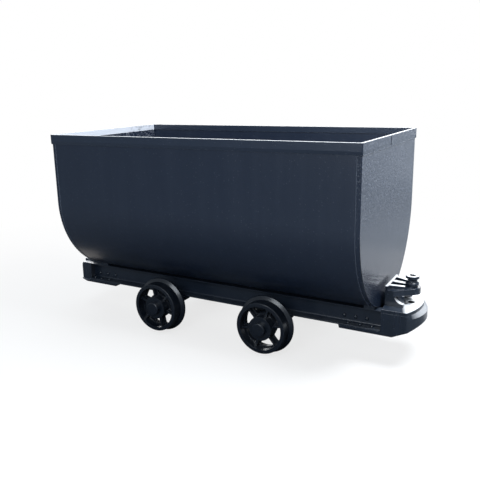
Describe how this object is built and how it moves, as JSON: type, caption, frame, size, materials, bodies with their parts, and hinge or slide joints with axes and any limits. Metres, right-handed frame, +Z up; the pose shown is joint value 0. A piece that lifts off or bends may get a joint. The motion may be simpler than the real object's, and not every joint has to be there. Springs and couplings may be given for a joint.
{
  "type": "fixed-body mine ore cart",
  "caption": "Mine ore cart with a fixed U-shaped steel tub, channel frame, cast bumpers with double-jaw pin couplers and spoked flanged wheels.",
  "frame": {"origin": "on the floor below the middle of the cart, which stands on its wheel flanges", "axes": "+X along the track towards the front, +Y to the cart's left, +Z up"},
  "size_m": [2.392, 1.04, 1.238],
  "materials": {
    "tub_paint": "semi-gloss navy black paint over plate with fine orange peel",
    "rim_paint": "semi-gloss navy black paint, worn bright along the top edge",
    "frame_paint": "semi-gloss black paint on rolled channel",
    "casting_paint": "black paint over sand-cast steel",
    "axle_steel": "oiled dark steel",
    "wheel_paint": "black paint over cast steel, worn at the flange"
  },
  "bodies": {
    "cart": {"tub_shell": "tub_paint", "tub_end_front": "tub_paint", "tub_end_rear": "tub_paint", "rim_side_left": "rim_paint", "rim_side_right": "rim_paint", "rim_end_front": "rim_paint", "rim_end_rear": "rim_paint", "side_beam_left": "frame_paint", "side_beam_right": "frame_paint", "cross_member_front": "frame_paint", "cross_member_middle": "frame_paint", "cross_member_rear": "frame_paint", "bumper_front": "casting_paint", "bumper_rear": "casting_paint", "jaw_plate_front": "casting_paint", "jaw_plate_rear": "casting_paint", "coupler_head_front": "casting_paint", "coupler_head_rear": "casting_paint", "tub_lugs": "frame_paint", "axle_seat_front_left": "casting_paint", "axle_seat_front_right": "casting_paint", "axle_seat_rear_left": "casting_paint", "axle_seat_rear_right": "casting_paint"},
    "wheelset_front": {"axle_front": "axle_steel", "wheel_front_left": "wheel_paint", "wheel_front_right": "wheel_paint", "hub_cap_front_left": "wheel_paint", "hub_cap_front_right": "wheel_paint"},
    "wheelset_rear": {"axle_rear": "axle_steel", "wheel_rear_left": "wheel_paint", "wheel_rear_right": "wheel_paint", "hub_cap_rear_left": "wheel_paint", "hub_cap_rear_right": "wheel_paint"}
  },
  "joints": [
    {"name": "wheelset_front_spin", "type": "hinge", "parent": "cart", "child": "wheelset_front", "pos_m": [0.367, 0, 0.17], "axis": [0, 1, 0], "continuous": true},
    {"name": "wheelset_rear_spin", "type": "hinge", "parent": "cart", "child": "wheelset_rear", "pos_m": [-0.367, 0, 0.17], "axis": [0, 1, 0], "continuous": true}
  ]
}
